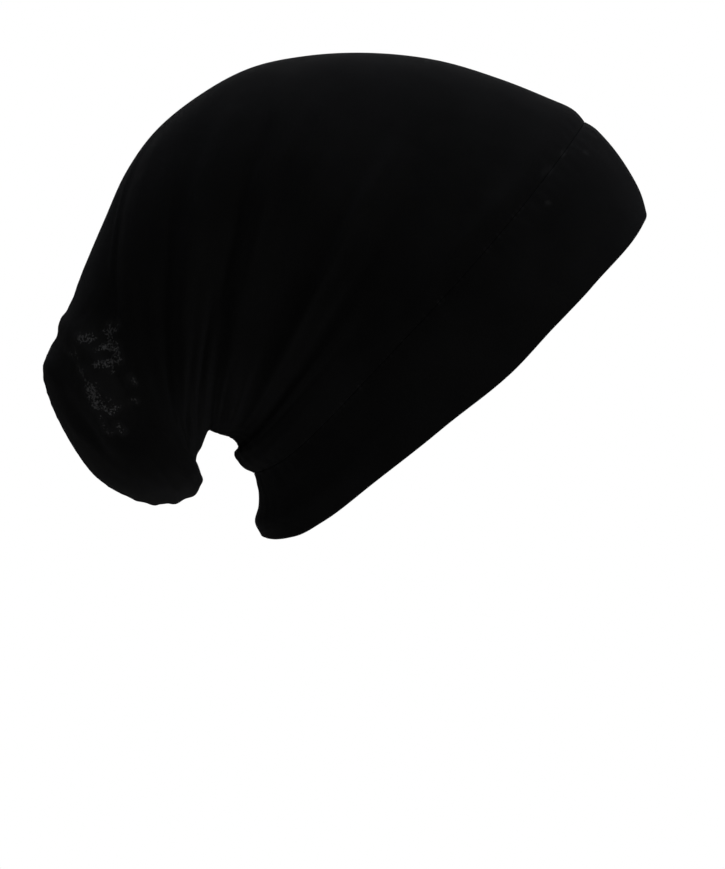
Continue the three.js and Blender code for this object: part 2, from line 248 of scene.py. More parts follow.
TAIL_SLACK = 0.75  # how much more uneven the slack tail is


def smooth_step(value, low, high):
    """Rises from 0 at low to 1 at high, gently at both ends."""
    share = min(max((value - low) / (high - low), 0.0), 1.0)
    return share * share * (3 - 2 * share)


def bell(value):
    """1 at 0, falling away on both sides."""
    return math.exp(-value * value) if abs(value) < 4 else 0.0


def line_point(points, at):
    """A point of the centripetal Catmull-Rom line through the points, which at counts from 0."""
    last = len(points) - 1
    at = min(max(at, 0.0), float(last))
    start = min(int(at), last - 1)
    part = at - start
    p1 = points[start]
    p2 = points[start + 1]
    p0 = points[start - 1] if start > 0 else p1 * 2 - p2
    p3 = points[start + 2] if start + 2 <= last else p2 * 2 - p1
    d1 = (p2 - p1).length ** 0.5 or 1.0
    d0 = (p1 - p0).length ** 0.5 or d1
    d2 = (p3 - p2).length ** 0.5 or d1
    leave = ((p1 - p0) / d0 - (p2 - p0) / (d0 + d1) + (p2 - p1) / d1) * d1
    reach = ((p2 - p1) / d1 - (p3 - p1) / (d1 + d2) + (p3 - p2) / d2) * d1
    square = (p2 - p1) * 3 - leave * 2 - reach
    cube = (p1 - p2) * 2 + leave + reach
    return p1 + leave * part + square * part**2 + cube * part**3


def lean_share(angle):
    """How much of a section's bow is reached at an angle from the top."""
    if angle < math.pi / 2:
        return math.sin(angle) ** TOP_LEAN
    return 1 - math.exp(-(((math.pi - angle) / NAPE_TURN) ** 2))


Loop = namedtuple("Loop", "low across forward half bow")


def loop_at(at):
    """The measures of the section with that number, with its fraction."""
    low = line_point(LOW_LINE, at)
    across = line_point(TOP_LINE, at) - low
    side = line_point(SIDE_LINE, at)
    forward = Vector((across.z, 0, -across.x)).normalized()
    return Loop(low, across, forward, side.x, side.y)


def smooth_point(loop, angle):
    """A point of the smooth cap, before its folds. angle runs from 0 over the head to pi at the nape on the
    wearer's left, and below zero on the right."""
    sine = math.sin(angle)
    point = loop.low + loop.across * ((1 + math.cos(angle)) / 2)
    point += loop.forward * (loop.bow * lean_share(min(abs(angle), math.pi)))
    point.y = loop.half * math.copysign(abs(sine) ** SIDE_FULLNESS, sine)
    return point


def way_round(angle):
    """How far round a point lies: 0 at the top and 1 at the nape, on either side."""
    return abs(angle) / math.pi


def middle_distance(angle):
    """How far a point lies from the middle plane: 0 at the top and the nape, 0.5 half way round."""
    return min(way_round(angle), 1 - way_round(angle))


def edge_trim(way):
    """How far the folded edge lies forward of its section."""
    for before, after in zip(EDGE_TRIM, EDGE_TRIM[1:]):
        if way <= after.way:
            share = smooth_step(way, before.way, after.way)
            return before.forward + (after.forward - before.forward) * share
    return EDGE_TRIM[-1].forward


def fold_swell(along):
    """How much of its height a fold has at a share of its length: it comes in slowly and ends sooner."""
    return math.sin(math.pi * along**1.3) ** 0.8


def fold_height(folds, at, angle, spacing, drift):
    """How far the folds lift the cloth. spacing is the distance there from one section to the next. drift
    moves the folds aside a little, so that none is quite even."""
    way = way_round(angle)
    total = 0.0
    for fold in folds:
        along = (way - fold.from_way) / (fold.to_way - fold.from_way)
        if along <= 0 or along >= 1:
            continue
        centre = fold.from_at + (fold.to_at - fold.from_at) * along + fold.bend * math.sin(math.pi * along)
        away = (at - centre + drift * fold.wide) / fold.wide
        if abs(away) > 3:
            continue
        most = FOLD_STEEPNESS * fold.wide * spacing
        side = fold.right if angle < 0 else fold.left
        total += min(max(side, -most), most) * fold_swell(along) * math.exp(-away * away)
    return total


def closing_seam_share(at, way):
    """1 in the middle of the seam that closes the tail, 0 away from it."""
    on_top = bell(way / CLOSING_SEAM_WIDTH) * smooth_step(at, CLOSING_SEAM_TOP - 1, CLOSING_SEAM_TOP)
    below = bell((1 - way) / CLOSING_SEAM_WIDTH) * smooth_step(at, CLOSING_SEAM_LOW - 1, CLOSING_SEAM_LOW)
    return max(on_top, below) * smooth_step(TAIL_END - at, 0, CLOSING_SEAM_END)


def crumple_share(point):
    """How much the cloth is crumpled at a point, from 0 to 1."""
    across = point.x - CRUMPLE_X
    up = point.z - CRUMPLE_Z
    wide = (across * math.cos(CRUMPLE_LEAN) + up * math.sin(CRUMPLE_LEAN)) / CRUMPLE_HALF_WIDTH
    tall = (up * math.cos(CRUMPLE_LEAN) - across * math.sin(CRUMPLE_LEAN)) / CRUMPLE_HALF_HEIGHT
    return bell(wide) * bell(tall * tall) * smooth_step(-point.y, 5, 22)


def rubbed_and_highlit_share(point):
    """How much rubbing and painted highlight the cloth has at a point, from 0 to about 1. The crumpled patch
    is painted paler all over, as highlight.
    """
    if point.y > -5:
        return 0.0
    # the whole crumpled patch is painted paler, as highlight
    share = CRUMPLE_HIGHLIGHT_TONE * crumple_share(point)
    for highlit_rub in RUBBED_AND_HIGHLIT:
        long_x = highlit_rub.to_x - highlit_rub.x
        long_z = highlit_rub.to_z - highlit_rub.z
        away_x = point.x - highlit_rub.x
        away_z = point.z - highlit_rub.z
        along = (away_x * long_x + away_z * long_z) / (long_x**2 + long_z**2)
        along = min(max(along, 0.0), 1.0)
        away = math.hypot(away_x - along * long_x, away_z - along * long_z)
        share = max(share, highlit_rub.strength * bell(away / highlit_rub.reach))
    return share


def ridged(point, size):
    """Sharp little creases: 0 in the hollows, 1 on the crests."""
    coarse = 1 - abs(noise.noise(point / size)) * 2
    fine = 1 - abs(noise.noise(point / (size * 0.47) + Vector((7.3, 1.9, 4.1)))) * 2
    return coarse * 0.65 + fine * 0.35


class ClothRow:
    """A ring of the cloth at one section number: gives the points round it."""

    def __init__(self, at):
        self.at = at
        before = max(at - NUDGE, 0.0)
        after = min(at + NUDGE, float(TAIL_END))
        self.step = after - before
        self.loop = loop_at(at)
        self.before = loop_at(before)
        self.after = loop_at(after)
        self.seam = loop_at(BAND_SEAM)

    def base(self, angle):
        """The smooth point, the way out of the cloth, the way onward and the spacing of the sections."""
        point = smooth_point(self.loop, angle)
        onward = smooth_point(self.after, angle) - smooth_point(self.before, angle)
        round_it = smooth_point(self.loop, angle + NUDGE) - smooth_point(self.loop, angle - NUDGE)
        outward = round_it.cross(onward).normalized()
        if self.at < BAND_SEAM:
            way = way_round(angle)
            forward = edge_trim(way) * smooth_step(BAND_SEAM - self.at, 0, BAND_SEAM)
            point = point + self.loop.forward * forward
            point += outward * (BROW_SWELL * bell(way / BROW_SWELL_WAY) * bell((self.at - 0.4) / 0.5))
        return point, outward, onward.normalized(), onward.length / self.step

    def relief(self, angle, point, spacing, strength):
        """How far the cloth stands out from the smooth cap, how far the point lies from the band's seam, and
        how much rubbing and painted highlight the cloth has."""
        at = self.at
        from_middle = middle_distance(angle)
        side = Vector((0, SIDE_SHIFT if angle < 0 else -SIDE_SHIFT, 0))
        drift = DRIFT * noise.noise(point / DRIFT_SIZE + side)
        lift = fold_height(FOLDS, at, angle, spacing, drift)
        lift += fold_height(FINE_FOLDS, at, angle, spacing, drift * 2)
        distance = (point - smooth_point(self.seam, angle)).length
        drag = noise.noise(point / DRAG_SIZE) + 0.5 * noise.noise(point / (DRAG_SIZE * 0.45))
        slack = TAIL_SLACK * smooth_step(at, CLOSING_SEAM_LOW - 3, CLOSING_SEAM_LOW + 2)
        slack *= smooth_step(from_middle, 0.04, 0.2)
        lift += drag * (DRAG_HEIGHT * smooth_step(from_middle, 0, 0.09) + slack)
        crumpled = crumple_share(point)
        if crumpled > 0.01:
            lift += CRUMPLE_HEIGHT * crumpled * (ridged(point, CRUMPLE_SIZE) - 0.5)
        return lift * strength, distance, rubbed_and_highlit_share(point)

    def seam_relief(self, angle, point, distance, length):
        """The grooves of the seams and the ripples that they draw into the cloth. length is how far round
        from the top the point lies."""
        way = way_round(angle)
        wander = noise.noise(Vector((length / WANDER_LENGTH, 3.1 if angle < 0 else 8.4, 0)))
        dip = SEAM_DIP * bell(distance / SEAM_DIP_WIDTH)
        dip += CLOSING_SEAM_DIP * closing_seam_share(self.at, way)
        ripples = self.band_ripples(way, distance, length, wander)
        return ripples + self.closing_ripples(angle, point, wander) - dip

    def band_ripples(self, way, distance, length, wander):
        """The puckers along the band's seam and the gathers at the nape."""
        pucker = PUCKER_HEIGHT * math.sin(2 * math.pi * length / PUCKER_LENGTH + 5 * wander)
        pucker *= 0.35 + 1.3 * abs(noise.noise(Vector((length / PUCKER_FADE, 0, 5.2))))
        pucker *= bell(distance / PUCKER_REACH) * smooth_step(distance, 0, 2.5)
        gather = GATHER_HEIGHT * math.sin(2 * math.pi * length / GATHER_LENGTH + 4 * wander)
        gather *= smooth_step(way, GATHER_START, 1) * smooth_step(GATHER_END - self.at, 0, 5)
        return pucker + gather * bell((self.at - GATHER_MIDDLE) / GATHER_SPREAD)

    def closing_ripples(self, angle, point, wander):
        """The ripples along the bottom of the tail, and the crease and short puckers of the closing seam."""
        at = self.at
        to_end = TAIL_END - at
        ripple = CLOSING_RIPPLE * bell((1 - way_round(angle)) / CLOSING_RIPPLE_WAY)
        ripple *= smooth_step(at, TAIL_END - 8, TAIL_END - 6) * smooth_step(to_end, 0.5, 2.5)
        phase = 2 * math.pi * (point.x - CLOSING_RIPPLE_CREST) / CLOSING_RIPPLE_LENGTH
        ripple *= math.cos(phase + math.sin(point.x / 9))
        from_seam = middle_distance(angle)
        sewn = smooth_step(at, CLOSING_SEAM_TOP - 1, CLOSING_SEAM_TOP) * smooth_step(to_end, 0, 1.5)
        crease = CLOSING_CREASE * sewn * bell(from_seam / CLOSING_CREASE_WIDTH)
        pucker = CLOSING_PUCKER * sewn * bell(from_seam / CLOSING_PUCKER_REACH)
        pucker *= smooth_step(from_seam, 0, 0.02)
        wave = 2 * math.pi * (point.z - 0.6 * point.x) / CLOSING_PUCKER_LENGTH + 4 * wander
        return ripple + pucker * math.sin(wave + (2 if angle < 0 else 0)) - crease


def row_numbers(first, last, factor):
    """Section numbers from one section to another, closer where the part has more strips."""
    rows = [float(first)]
    for section in range(first, last):
        count = SECTIONS[section].strips * factor
        rows.extend(section + step / count for step in range(1, count + 1))
    return rows


# A point of the cloth: its place, how far round and along the flat cloth it lies, how much rubbing and
# painted highlight it has and how near the seam
Stitch = namedtuple("Stitch", "place flat rubbed seam")
Ring = namedtuple("Ring", "at depth shift")


def cloth_rings(rings, columns, strength):
    """The points of rings round the cap. A ring has the number of its section, how far it lies below the
    outside of the cloth and how far it is moved onward."""
    angles = [math.pi * (2 * i / columns - 1) for i in range(columns + 1)]
    middle = columns // 2
    reach = [0.0] * (columns + 1)
    rows = {}
    laid = []
    last = None
    for ring in rings:
        if ring.at not in rows:
            row = ClothRow(ring.at)
            rows[ring.at] = row, [row.base(angle) for angle in angles]
        row, bases = rows[ring.at]
        lengths = [0.0] * (columns + 1)
        for i in range(middle + 1, columns + 1):
            lengths[i] = lengths[i - 1] + (bases[i][0] - bases[i - 1][0]).length
        for i in range(middle - 1, -1, -1):
            lengths[i] = lengths[i + 1] - (bases[i][0] - bases[i + 1][0]).length
        points = []
        for i, angle in enumerate(angles):
            point, outward, onward, spacing = bases[i]
            lift, distance, worn_and_highlit = row.relief(angle, point, spacing, strength)
            lift += row.seam_relief(angle, point, distance, abs(lengths[i]))
            place = point + outward * (lift - ring.depth) + onward * ring.shift
            if last:
                reach[i] += (place - last[i].place).length
            points.append(Stitch(place, (lengths[i], reach[i]), worn_and_highlit, bell(distance / SEAM_MARK_WIDTH)))
        # the first and the last point of a ring are one point of the cloth
        points[-1] = points[-1]._replace(place=points[0].place.copy())
        laid.append(points)
        last = points
    return laid


def drawn_to(place, ring):
    """The ring with all its points at one place, which closes an end."""
    return [stitch._replace(place=place.copy()) for stitch in ring]


def cloth_mesh(rings, closed):
    """A mesh from a grid whose points are moved to the rings. closed joins the last ring to the first."""
    columns = len(rings[0]) - 1
    rows = len(rings) if closed else len(rings) - 1
    bm = bmesh.new()
    flat = bm.loops.layers.uv.new("cloth")
    rubbed = bm.verts.layers.float.new("rubbed")
    seam = bm.verts.layers.float.new("seam")
    bmesh.ops.create_grid(bm, x_segments=columns, y_segments=rows, size=1.0)
    laid = {}
    for vert in bm.verts:
        column = round((vert.co.x + 1) / 2 * columns)
        row = round((vert.co.y + 1) / 2 * rows)
        laid[vert] = rings[row % len(rings)][column]
    for face in bm.faces:
        face.smooth = True
        for loop in face.loops:
            round_it, along = laid[loop.vert].flat
            loop[flat].uv = (round_it * MM, along * MM)
    for vert, stitch in laid.items():
        vert.co = stitch.place * MM
        vert[rubbed] = stitch.rubbed
        vert[seam] = stitch.seam
    bmesh.ops.remove_doubles(bm, verts=bm.verts, dist=1e-6)
    bmesh.ops.recalc_face_normals(bm, faces=bm.faces)
    return bm


def piece_from(bm, name, material):
    """The finished piece, with its place in its mesh."""
    mesh = bpy.data.meshes.new(name)
    bm.to_mesh(mesh)
    bm.free()
    mesh.materials.append(material)
    piece = bpy.data.objects.new(name, mesh)
    bpy.context.scene.collection.objects.link(piece)
    return piece


# The cloth's surface. Heights are in metres, for the bump
KNIT_HEIGHT = 0.00009
FUZZ_HEIGHT = 0.00004
FLECK_HEIGHT = 0.00025
STITCH_HEIGHT = 0.0001
THREAD_HEIGHT = 0.0003
STITCH_GLINT = 0.07  # painted glint: how near the seam's stitches come to the lint's colour
HIGHLIGHT_PALE = 0.26  # painted highlight: how near the cloth between the flecks comes to that colour
HIGHLIGHT_PALEST = 0.085  # the nearest that it comes
LEG_SLANT = 1.7  # how steeply the yarn's legs lean
FLECK_LEVEL = 0.67  # the noise above which a fleck shows
FLECK_DROP = 0.19  # how much lower that is where the mask of rubbing and painted highlight is highest
FLECK_EDGE = 0.07  # how soft a fleck's edge is
CLOUDS_PER_METRE = 22
FUZZ_PER_METRE = 2600
CROWN_ROUGHNESS = 0.92
BAND_ROUGHNESS = 0.88
SHEEN_ROUGHNESS = 0.45
THREADS_PER_STITCH = 1.25
THREAD_LEAN = math.radians(14)
FLOOR_FADE_START = 0.45  # where the floor begins to fade and where it is gone, as shares of its radius
FLOOR_FADE_END = 0.98

SIGNS = {"+": "ADD", "-": "SUBTRACT", "*": "MULTIPLY", "/": "DIVIDE"}


class Nodes:
    """Short ways to add nodes to a tree."""

    def __init__(self, tree):
        tree.nodes.clear()
        self.tree = tree

    def add(self, kind, settings=None, **inputs):
        """A node with its settings. An input goes by its name, or by i and its number."""
        node = self.tree.nodes.new(kind)
        for key, value in (settings or {}).items():
            setattr(node, key, value)
        for key, value in inputs.items():
            place = int(key[1:]) if key[1:].isdigit() else key.replace("_", " ")
            socket = node.inputs[place]
            if isinstance(value, bpy.types.NodeSocket):
                self.tree.links.new(value, socket)
            else:
                socket.default_value = value
        return node

    def math(self, operation, first, second=0.0):
        """A math node. Its operation goes by its sign or its name."""
        settings = {"operation": SIGNS.get(operation, operation)}
        return self.add("ShaderNodeMath", settings, i0=first, i1=second).outputs[0]

    def clamp(self, value):
        return self.math("MINIMUM", self.math("MAXIMUM", value, 0.0), 1.0)

    def blend(self, share, first, second):
        return self.add("ShaderNodeMix", {"data_type": "RGBA"}, i0=share, i6=first, i7=second).outputs[2]

    def noise(self, place, scale, detail, roughness):
        inputs = {"Vector": place, "Scale": scale, "Detail": detail, "Roughness": roughness}
        return self.add("ShaderNodeTexNoise", **inputs).outputs["Fac"]

    def rise(self, value, low, high):
        """0 at low and 1 at high, with a gentle start and end."""
        settings = {"interpolation_type": "SMOOTHSTEP"}
        return self.add("ShaderNodeMapRange", settings, Value=value, From_Min=low, From_Max=high).outputs[0]

    def bump(self, height):
        return self.add("ShaderNodeBump", Strength=1.0, Distance=1.0, Height=height).outputs["Normal"]

    def group(self, tree, **inputs):
        return self.add("ShaderNodeGroup", {"node_tree": tree}, **inputs).outputs

    def surface(self, **inputs):
        """The shader and the end of a cloth's material."""
        shader = self.add("ShaderNodeBsdfPrincipled", **inputs)
        self.add("ShaderNodeOutputMaterial", Surface=shader.outputs["BSDF"])

    def flat_place(self):
        """The place on the flat cloth."""
        return self.add("ShaderNodeUVMap", {"uv_map": "cloth"}).outputs["UV"]


def new_material(name):
    """An empty material and the maker of its nodes."""
    material = bpy.data.materials.new(name)
    material.use_nodes = True
    return material, Nodes(material.node_tree)


def new_group(name, inputs, outputs):
    """A node group, the maker of its nodes and what it is given. An input without a default is a vector, and
    the others and all outputs are numbers."""
    tree = bpy.data.node_groups.new(name, "ShaderNodeTree")
    for label, default in inputs.items():
        kind = "NodeSocketVector" if default is None else "NodeSocketFloat"
        socket = tree.interface.new_socket(label, in_out="INPUT", socket_type=kind)
        if default is not None:
            socket.default_value = default
    for label in outputs:
        tree.interface.new_socket(label, in_out="OUTPUT", socket_type="NodeSocketFloat")
    nodes = Nodes(tree)
    return tree, nodes, nodes.add("NodeGroupInput").outputs


def knit_group(name):
    """Plain jersey: columns of slanted yarn legs that make little Vs. Height is 0 in the gaps and 1 on the
    yarn, and Gap is 1 between the legs, where the colour is darkened as painted shade."""
    inputs = {"Place": None, "Wale": 0.0008, "Course": 0.0006}
    tree, nodes, given = new_group(name, inputs, ("Height", "Gap"))
    calc = nodes.math
    split = nodes.add("ShaderNodeSeparateXYZ", Vector=given["Place"])
    wale = calc("/", split.outputs["X"], given["Wale"])
    side = calc("ABSOLUTE", calc("-", calc("FRACT", wale), 0.5))
    course = calc("/", split.outputs["Y"], given["Course"])
    slant = calc("FRACT", calc("+", course, calc("*", side, LEG_SLANT)))
    across = calc("SINE", calc("*", side, 2 * math.pi))
    along = calc("SINE", calc("*", slant, math.pi))
    leg = calc("*", calc("POWER", across, 0.6), calc("POWER", along, 0.6))
    # painted shade: 1 between the yarn legs, where the colour is darkened
    gap_shade = calc("-", 1.0, calc("MINIMUM", calc("*", leg, 1.8), 1.0))
    nodes.add("NodeGroupOutput", Height=leg, Gap=gap_shade)
    return tree


def wear_group(name):
    """What use does to the cloth: soft clouds of tone, a fuzzy surface, and flecks of lint and rubbing where
    the mask of rubbing and painted highlight is high."""
    inputs = {"Place": None, "Worn": 0.0, "Fleck size": 0.001}
    tree, nodes, given = new_group(name, inputs, ("Flecks", "Clouds", "Fuzz"))
    calc = nodes.math
    place = given["Place"]
    per_metre = calc("/", 1.0, given["Fleck size"])
    spots = nodes.noise(place, per_metre, 3.0, 0.75)
    ragged = nodes.noise(place, calc("*", per_metre, 0.42), 2.0, 0.6)
    ragged = calc("*", calc("-", ragged, 0.5), 2.4)
    worn_and_highlit = calc("*", calc("-", given["Worn"], CRUMPLE_HIGHLIGHT_TONE), 1.8)
    worn_and_highlit = nodes.clamp(calc("+", worn_and_highlit, calc("*", ragged, calc("MINIMUM", worn_and_highlit, 0.5))))
    edge = calc("-", FLECK_LEVEL, calc("*", worn_and_highlit, FLECK_DROP))
    flecks = nodes.rise(spots, edge, calc("+", edge, FLECK_EDGE))
    shown = calc("MINIMUM", calc("*", worn_and_highlit, 3.0), 1.0)
    nodes.add(
        "NodeGroupOutput",
        Flecks=calc("*", flecks, shown),
        Clouds=nodes.noise(place, CLOUDS_PER_METRE, 3.0, 0.55),
        Fuzz=nodes.noise(place, FUZZ_PER_METRE, 2.0, 0.6),
    )
    return tree


def stitch_group(name):
    """The short stitches of a seam that show through the cloth here and there, as bumps and painted glints.
    """
    inputs = {"Place": None, "Seam": 0.0, "Length": 0.0028}
    tree, nodes, given = new_group(name, inputs, ("Stitches",))
    calc = nodes.math
    split = nodes.add("ShaderNodeSeparateXYZ", Vector=given["Place"])
    beat = calc("FRACT", calc("/", split.outputs["X"], given["Length"]))
    thread = calc("GREATER_THAN", calc("SINE", calc("*", beat, math.pi)), 0.75)
    line = calc("POWER", given["Seam"], 2.0)
    showing = nodes.noise(given["Place"], 160.0, 1.0, 0.5)
    showing = nodes.clamp(calc("*", calc("-", showing, 0.5), 5.0))
    stitches = calc("*", calc("*", thread, line), showing)
    nodes.add("NodeGroupOutput", Stitches=stitches)
    return tree


def jersey_material(name, cloth, roughness):
    """Black cotton jersey with its knit, fuzz, flecks of wear and seam stitches, with painted shade in the
    knit's gaps, painted highlight on the crumpled patch and painted glints along the seam.
    """
    makers = {"Jersey knit": knit_group, "Cloth wear": wear_group, "Seam stitches": stitch_group}
    knit, wear, stitches = [bpy.data.node_groups.get(key) or make(key) for key, make in makers.items()]
    material, nodes = new_material(name)
    calc = nodes.math
    flat = nodes.flat_place()
    place = nodes.add("ShaderNodeTexCoord").outputs["Object"]
    worn_and_highlit = nodes.add("ShaderNodeAttribute", {"attribute_name": "rubbed"}).outputs["Fac"]
    seam = nodes.add("ShaderNodeAttribute", {"attribute_name": "seam"}).outputs["Fac"]
    yarn = nodes.group(knit, Place=flat, Wale=cloth.wale, Course=cloth.course)
    use = nodes.group(wear, Place=place, Worn=worn_and_highlit, Fleck_size=cloth.fleck_size)
    sewn = nodes.group(stitches, Place=flat, Seam=seam, Length=cloth.stitch_length)

    deep = (*cloth.deep_colour, 1)
    # the lint colour, also used for the painted highlight and the painted glints
    lint = (*cloth.lint_and_highlight_colour, 1)
    clouds = nodes.clamp(calc("*", calc("-", use["Clouds"], 0.3), 2.2))
    tone = nodes.blend(clouds, deep, (*cloth.colour, 1))
    # painted shade: the gaps between the yarn legs are darkened towards the deep colour
    tone = nodes.blend(calc("*", yarn["Gap"], 0.5), tone, deep)
    # painted highlight: the crumpled patch and its strokes are painted paler between the flecks
    pale = calc("MINIMUM", calc("*", worn_and_highlit, HIGHLIGHT_PALE), HIGHLIGHT_PALEST)
    tone = nodes.blend(pale, tone, lint)
    # painted glint on the seam's stitches, added to the flecks
    thread = calc("*", sewn["Stitches"], STITCH_GLINT)
    flecks_and_glints = calc("MINIMUM", calc("+", use["Flecks"], thread), 1.0)
    tone = nodes.blend(flecks_and_glints, tone, lint)

    height = calc("*", yarn["Height"], KNIT_HEIGHT)
    height = calc("+", height, calc("*", use["Fuzz"], FUZZ_HEIGHT))
    height = calc("+", height, calc("*", use["Flecks"], FLECK_HEIGHT))
    height = calc("+", height, calc("*", sewn["Stitches"], STITCH_HEIGHT))
    nodes.surface(
        Base_Color=tone,
        Roughness=calc("+", calc("*", use["Clouds"], 0.08), roughness - 0.04),
        Normal=nodes.bump(height),
        Specular_IOR_Level=cloth.shine,
        Sheen_Weight=cloth.sheen,
        Sheen_Roughness=SHEEN_ROUGHNESS,
        Sheen_Tint=(*cloth.sheen_colour, 1),
    )
    return material


def thread_material(name, cloth):
    """Overlocked edge: threads wound close together across it, with a painted highlight and shade on each.
    """
    material, nodes = new_material(name)
    flat = nodes.flat_place()
    turned = nodes.add("ShaderNodeMapping", Vector=flat, Rotation=(0, 0, THREAD_LEAN)).outputs["Vector"]
    scale = THREADS_PER_STITCH / cloth.stitch_length
    threads = nodes.add("ShaderNodeTexWave", Vector=turned, Scale=scale, Distortion=1.5, Detail=1.0)
    # painted highlight on the threads' crests and painted shade in the grooves between them
    light = (*(2 * part for part in cloth.colour), 1)
    tone = nodes.blend(threads.outputs["Fac"], (*cloth.deep_colour, 1), light)
    bump = nodes.bump(nodes.math("*", threads.outputs["Fac"], THREAD_HEIGHT))
    nodes.surface(Base_Color=tone, Roughness=0.7, Normal=bump, Specular_IOR_Level=cloth.shine * 2)
    return material


def floor_material(studio, middle):
    """A plain pale floor that fades out at its edge and doesn't show from below."""
    material, nodes = new_material("pale_floor")
    place = nodes.add("ShaderNodeTexCoord").outputs["Object"]
    away = nodes.add("ShaderNodeVectorMath", {"operation": "DISTANCE"}, i0=place, i1=middle).outputs["Value"]
    radius = studio.floor_radius
    fade = nodes.rise(away, radius * FLOOR_FADE_START, radius * FLOOR_FADE_END)
    under = nodes.add("ShaderNodeNewGeometry").outputs["Backfacing"]
    paint = nodes.add("ShaderNodeBsdfPrincipled", Base_Color=(*studio.floor_colour, 1), Roughness=0.9)
    clear = nodes.add("ShaderNodeBsdfTransparent").outputs["BSDF"]
    gone = nodes.math("MAXIMUM", fade, under)
    mix = nodes.add("ShaderNodeMixShader", i0=gone, i1=paint.outputs["BSDF"], i2=clear)
    nodes.add("ShaderNodeOutputMaterial", Surface=mix.outputs["Shader"])
    return material


class CapCloth(bpy.types.PropertyGroup):
    """The sizes and colours of the cloth."""

    crown_wall: bpy.props.FloatProperty(
        name="Crown thickness", default=0.0014, min=0.0005, max=0.003, precision=5, unit="LENGTH",
        description="Thickness of the one layer of jersey of the crown and the tail",
    )
    band_wall: bpy.props.FloatProperty(
        name="Band thickness", description="Thickness of the doubled jersey round the face and the nape",
        default=0.0024, min=0.001, max=0.005, precision=5, unit="LENGTH",
    )
    fold_strength: bpy.props.FloatProperty(
        name="Fold strength", default=1.0, min=0.0, max=1.4, subtype="FACTOR",
        description="How far the folds stand out, where 1 is as on the part",
    )
    wale: bpy.props.FloatProperty(
        name="Stitch width", description="Width of one column of knitted stitches",
        default=0.0008, min=0.0003, max=0.003, precision=5, unit="LENGTH",
    )
    course: bpy.props.FloatProperty(
        name="Stitch height", description="Height of one row of knitted stitches",
        default=0.0006, min=0.0003, max=0.003, precision=5, unit="LENGTH",
    )
    stitch_length: bpy.props.FloatProperty(
        name="Seam stitch", description="Length of one stitch of the band's seam",
        default=0.0028, min=0.001, max=0.006, precision=5, unit="LENGTH",
    )
    fleck_size: bpy.props.FloatProperty(
        name="Fleck size", description="Size of the lint flecks on rubbed cloth",
        default=0.001, min=0.0005, max=0.006, precision=5, unit="LENGTH",
    )
    colour: bpy.props.FloatVectorProperty(
        name="Cloth colour", description="Colour of the jersey",
        default=(0.0045, 0.0045, 0.0046), min=0.0, max=1.0, size=3, subtype="COLOR",
    )
    # Between the knit's stitches and between the overlock's threads this colour is painted shade; in the
    # darker clouds it is the cloth's own tone
    deep_colour: bpy.props.FloatVectorProperty(
        name="Deep colour", description="Colour between the stitches and in darker clouds",
        default=(0.0022, 0.0022, 0.0022), min=0.0, max=1.0, size=3, subtype="COLOR",
    )
    # Colour of lint, of the painted highlight on the crumpled patch and of the painted glints on the seam
    lint_and_highlight_colour: bpy.props.FloatVectorProperty(
        name="Worn colour", description="Colour of lint and of stitches that show",
        default=(0.062, 0.062, 0.063), min=0.0, max=1.0, size=3, subtype="COLOR",
    )
    sheen_colour: bpy.props.FloatVectorProperty(
        name="Sheen colour", description="Tint of the light on the cloth's fuzz",
        default=(0.88, 0.9, 1.0), min=0.0, max=1.0, size=3, subtype="COLOR",
    )
    sheen: bpy.props.FloatProperty(
        name="Sheen", description="How much the cloth's fuzz catches light from the side",
        default=0.012, min=0.0, max=1.0, subtype="FACTOR",
    )
    shine: bpy.props.FloatProperty(
        name="Shine", description="How much plain reflection the cloth has",
        default=0.03, min=0.0, max=1.0, subtype="FACTOR",
    )


class CapStudio(bpy.types.PropertyGroup):
    """The floor, the lights and the camera."""

    floor_drop: bpy.props.FloatProperty(
        name="Floor drop", description="How far below the cap the floor lies, as the cap is held up",
        default=0.175, min=0.0, max=1.0, unit="LENGTH",
    )
    floor_radius: bpy.props.FloatProperty(
        name="Floor radius", description="Radius of the round floor, which fades at its edge",
        default=0.5, min=0.2, max=2.0, unit="LENGTH",
    )
    floor_colour: bpy.props.FloatVectorProperty(
        name="Floor colour", description="Colour of the plain pale floor",
        default=(0.94, 0.922, 0.885), min=0.0, max=1.0, size=3, subtype="COLOR",
    )
    camera_distance: bpy.props.FloatProperty(
        name="Camera distance", description="Distance of the camera from the cap's middle plane",
        default=4.5, min=1.0, max=10.0, unit="LENGTH",
    )
    view_height: bpy.props.FloatProperty(
        name="Height in view", description="Height of what shows in the cap's middle plane",
        default=0.378, min=0.1, max=2.0, unit="LENGTH",
    )
    view_x: bpy.props.FloatProperty(
        name="View middle X", description="What the camera looks at, from back to front",
        default=0.00196, unit="LENGTH",
    )
    view_z: bpy.props.FloatProperty(
        name="View middle Z", description="What the camera looks at, up and down",
        default=-0.16465, unit="LENGTH",
    )
    top_power: bpy.props.FloatProperty(
        name="Top light", description="Power of the light above the cap, in watts",
        default=16.5, min=0.0,
    )
    front_power: bpy.props.FloatProperty(
        name="Front light", description="Power of the light before the cap, in watts",
        default=7.5, min=0.0,
    )
    back_power: bpy.props.FloatProperty(
        name="Back light", description="Power of the light on the far side, in watts",
        default=4.5, min=0.0,
    )
    low_power: bpy.props.FloatProperty(
        name="Low light", description="Power of the light below the face, in watts",
        default=1.5, min=0.0,
    )
    sky: bpy.props.FloatProperty(
        name="Sky light", description="Strength of the even light from all round",
        default=0.19, min=0.0, max=2.0,
    )


# How fine the mesh is: columns round the cap, and rows for each strip of the part
CROWN_COLUMNS = 232
CROWN_DETAIL = 4
BAND_COLUMNS = 320
BAND_DETAIL = 5
BAND_EDGE_STEPS = 8  # rows round the folded edge
SEAM_COLUMNS = 240

